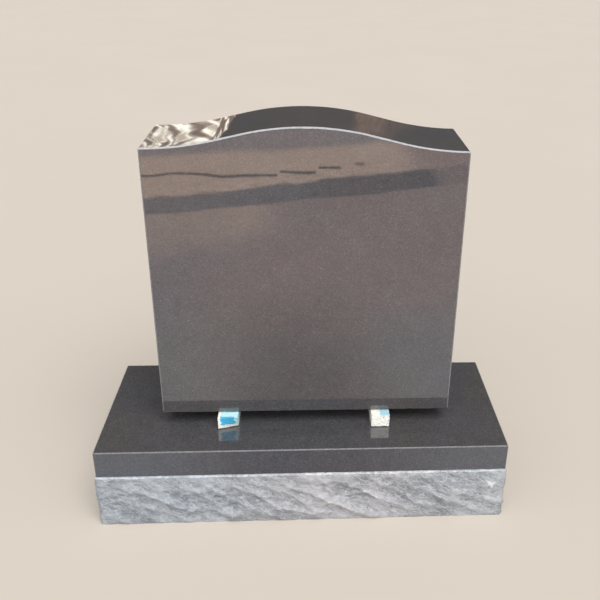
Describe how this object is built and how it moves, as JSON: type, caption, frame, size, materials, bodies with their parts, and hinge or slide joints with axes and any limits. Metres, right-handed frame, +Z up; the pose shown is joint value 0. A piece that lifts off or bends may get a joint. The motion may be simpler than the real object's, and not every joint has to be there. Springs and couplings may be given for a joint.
{
  "type": "headstone",
  "caption": "Upright polished dark granite headstone with a wave top, standing on foam spacers on a base with polished top and margin and rock-pitched sides.",
  "frame": {"origin": "middle of the base's underside, on the ground", "axes": "+X to the right as one faces the inscription side, +Y from the front to the back, +Z up"},
  "size_m": [0.7322, 0.3076, 0.6886],
  "materials": {
    "polished_granite": "polished",
    "base_granite": "polished",
    "blue_foam": "matte",
    "white_foam": "matte"
  },
  "bodies": {
    "root": {"tablet": "polished_granite", "base": "base_granite", "spacer_left": "blue_foam", "spacer_right": "white_foam"}
  },
  "joints": []
}
